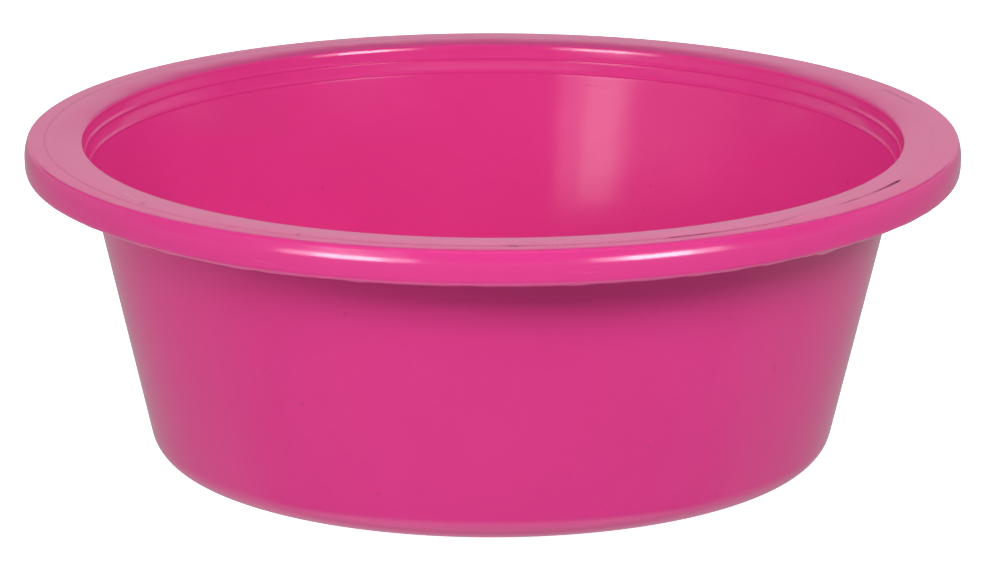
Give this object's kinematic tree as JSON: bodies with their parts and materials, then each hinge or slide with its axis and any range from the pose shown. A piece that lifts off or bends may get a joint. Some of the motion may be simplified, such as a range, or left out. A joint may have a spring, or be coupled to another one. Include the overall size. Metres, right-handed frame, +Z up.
{
  "type": "plastic basin",
  "caption": "Round one-piece plastic basin with a flat floor, tapered wall and wide turned-down rim, for holding water for washing, cleaning or soaking.",
  "frame": {"origin": "centre of the foot's flat resting plane", "axes": "+Z up along the basin's axis, out of its mouth; X and Y lie in the resting plane"},
  "size_m": [0.4, 0.4, 0.1387],
  "materials": {
    "plastic": "glossy moulded polypropylene, deep pink, lightly scuffed along the rim"
  },
  "bodies": {
    "root": {"basin": "plastic"}
  },
  "joints": []
}
